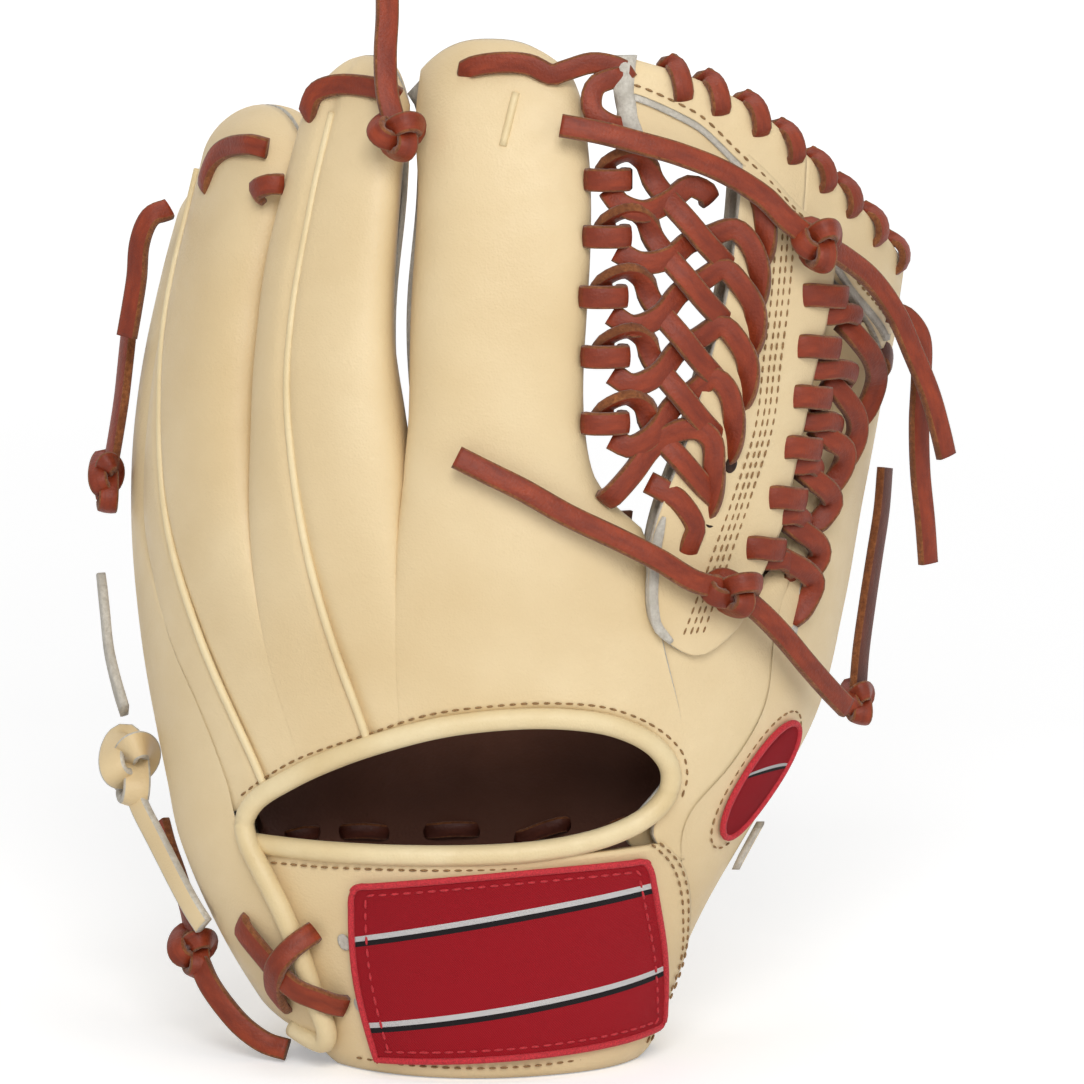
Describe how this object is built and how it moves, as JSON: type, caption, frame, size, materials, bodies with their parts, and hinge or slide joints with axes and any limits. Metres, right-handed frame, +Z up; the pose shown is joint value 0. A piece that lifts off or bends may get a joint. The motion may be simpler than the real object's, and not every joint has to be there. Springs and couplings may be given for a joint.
{
  "type": "baseball glove",
  "caption": "Left-hand baseball fielding glove, cream leather with chestnut lacing: finger and thumb stalls, laced trapeze web, open back, wrist strap; folds shut along two pocket creases.",
  "frame": {"origin": "middle of the foot of the box round everything but the free lace ends, at the height of the heel edge that the glove stands on", "axes": "+Z up towards the fingertips, back of the hand towards -Y, pocket opens towards +Y, thumb towards +X"},
  "size_m": [0.2449, 0.1459, 0.3054],
  "materials": {
    "shell_leather": "smooth semi-matte cream steerhide",
    "lining_leather": "soft dark brown lining",
    "lace_leather": "waxed chestnut rawhide lace",
    "welt_leather": "rolled cream leather piping",
    "suede": "raw grey flesh side",
    "patch_cloth": "red woven cloth with a merrowed edge",
    "heel_felt": "pressed wool felt"
  },
  "bodies": {
    "finger_side": {"fingertip_knot": "lace_leather", "fingertip_tail": "lace_leather", "hand_opening_binding": "welt_leather", "heel_lace": "lace_leather", "heel_side_knot": "lace_leather", "heel_side_lace": "lace_leather", "heel_side_tail": "lace_leather", "index_back": "shell_leather", "index_lining": "lining_leather", "index_tip_lace": "lace_leather", "index_welt": "welt_leather", "middle_back": "shell_leather", "middle_lining": "lining_leather", "middle_tip_lace": "lace_leather", "middle_welt": "welt_leather", "palm_finger_side": "shell_leather", "palm_lining": "lining_leather", "pinky_back": "shell_leather", "pinky_heel_flap": "shell_leather", "pinky_heel_pad": "heel_felt", "pinky_lining": "lining_leather", "pinky_side_knot": "lace_leather", "pinky_side_lace": "lace_leather", "pinky_upper_tail": "lace_leather", "pull_strap_knot": "shell_leather", "pull_strap_tab": "suede", "pull_strap_tail": "shell_leather", "ring_back": "shell_leather", "ring_lining": "lining_leather", "ring_side_lace": "lace_leather", "ring_tip_lace": "lace_leather", "ring_welt": "welt_leather", "strap_cross_lace": "lace_leather", "strap_lining": "suede", "thumb_heel_pad": "heel_felt", "wrist_patch": "patch_cloth", "wrist_strap": "shell_leather"},
    "pocket": {"palm_pocket": "shell_leather", "thumb_crotch_back": "shell_leather", "web_post": "shell_leather", "web_post_backing": "shell_leather", "crown_band": "shell_leather", "crown_lace": "lace_leather", "index_braid": "lace_leather", "thumb_braid": "lace_leather", "web_upper_knot": "lace_leather", "web_lower_knot": "lace_leather", "web_upper_tail": "lace_leather", "web_crown_tail": "lace_leather", "web_lower_tail": "lace_leather", "web_thumb_tail": "lace_leather"},
    "thumb_side": {"thumb_back": "shell_leather", "thumb_lining": "lining_leather", "palm_thumb_side": "shell_leather", "thumb_patch": "patch_cloth", "thumb_tab": "suede", "thumb_side_knot": "lace_leather", "thumb_side_lace": "lace_leather", "thumb_tip_tail": "lace_leather", "web_lace_end": "lace_leather"}
  },
  "joints": [
    {"name": "index_crease", "type": "hinge", "parent": "finger_side", "child": "pocket", "pos_m": [0.04734, -0.0301, 0], "axis": [-0.0614, -0.046, 0.9971], "range_deg": [-4, 14], "stiffness_Nm_per_rad": 0.6},
    {"name": "thumb_crease", "type": "hinge", "parent": "pocket", "child": "thumb_side", "pos_m": [0.04734, -0.0301, 0], "axis": [0.2129, 0.1355, 0.9676], "range_deg": [-4, 14], "stiffness_Nm_per_rad": 0.6}
  ],
  "couplings": [
    {"joint": "thumb_crease", "follows": "index_crease", "ratio": 1}
  ]
}
